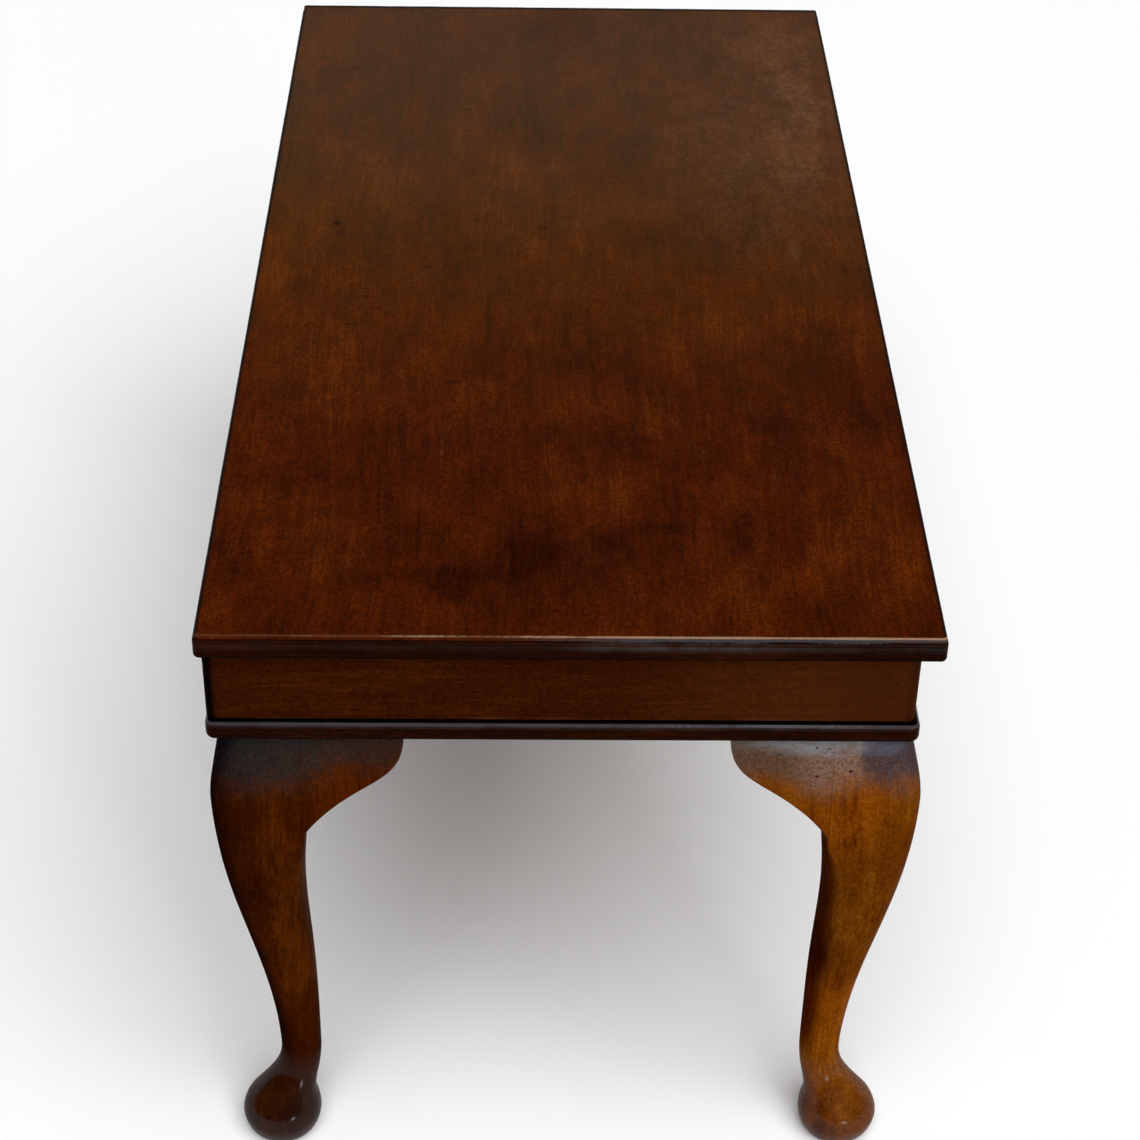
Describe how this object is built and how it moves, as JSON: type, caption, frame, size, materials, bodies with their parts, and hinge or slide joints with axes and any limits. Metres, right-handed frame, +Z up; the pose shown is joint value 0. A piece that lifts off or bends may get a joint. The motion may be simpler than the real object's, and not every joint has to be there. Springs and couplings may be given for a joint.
{
  "type": "storage coffee table",
  "caption": "Long mahogany coffee table whose hinged lid lifts over a shallow storage box, with a dark moulded base, cabriole legs, shaped knee brackets and ball-like feet.",
  "frame": {"origin": "on the floor under the middle of the lid", "axes": "+Z up, +Y along the length to the far end, -X to the hinge side and +X to the side that lifts"},
  "size_m": [0.46, 0.917, 0.465],
  "materials": {
    "polished_top": "dark red-brown mahogany, french polished, grain along the length",
    "dark_edge": "near-black stained mahogany, polished",
    "frieze": "mid red-brown mahogany, polished",
    "legs": "golden to red-brown mahogany, polished",
    "plain_timber": "unpolished timber",
    "hinge_brass": "aged brass"
  },
  "bodies": {
    "carcase": {"rail_near_end": "frieze", "rail_far_end": "frieze", "rail_hinge_side": "frieze", "rail_lift_side": "frieze", "bottom_panel": "plain_timber", "base_near_end": "dark_edge", "base_far_end": "dark_edge", "base_hinge_side": "dark_edge", "base_lift_side": "dark_edge", "leg_near_left": "legs", "leg_near_right": "legs", "leg_far_left": "legs", "leg_far_right": "legs", "knee_bracket_near_left_end": "legs", "knee_bracket_near_left_side": "legs", "knee_bracket_near_right_end": "legs", "knee_bracket_near_right_side": "legs", "knee_bracket_far_left_end": "legs", "knee_bracket_far_left_side": "legs", "knee_bracket_far_right_end": "legs", "knee_bracket_far_right_side": "legs", "corner_block_near_left": "plain_timber", "corner_block_near_right": "plain_timber", "corner_block_far_left": "plain_timber", "corner_block_far_right": "plain_timber", "leg_dowel_near_left": "plain_timber", "leg_dowel_near_right": "plain_timber", "leg_dowel_far_left": "plain_timber", "leg_dowel_far_right": "plain_timber", "hinge_rail_leaf_1": "hinge_brass", "hinge_rail_leaf_2": "hinge_brass", "hinge_rail_leaf_3": "hinge_brass", "hinge_pin_1": "hinge_brass", "hinge_pin_2": "hinge_brass", "hinge_pin_3": "hinge_brass"},
    "lid": {"lid_top_sheet": "polished_top", "lid_core": "plain_timber", "lid_lipping_near_end": "dark_edge", "lid_lipping_far_end": "dark_edge", "lid_lipping_hinge_side": "dark_edge", "lid_lipping_lift_side": "dark_edge", "hinge_lid_leaf_1": "hinge_brass", "hinge_lid_leaf_2": "hinge_brass", "hinge_lid_leaf_3": "hinge_brass"}
  },
  "joints": [
    {"name": "lid_hinge", "type": "hinge", "parent": "carcase", "child": "lid", "pos_m": [-0.2269, 0, 0.44685], "axis": [0, -1, 0], "range_deg": [0, 95]}
  ]
}
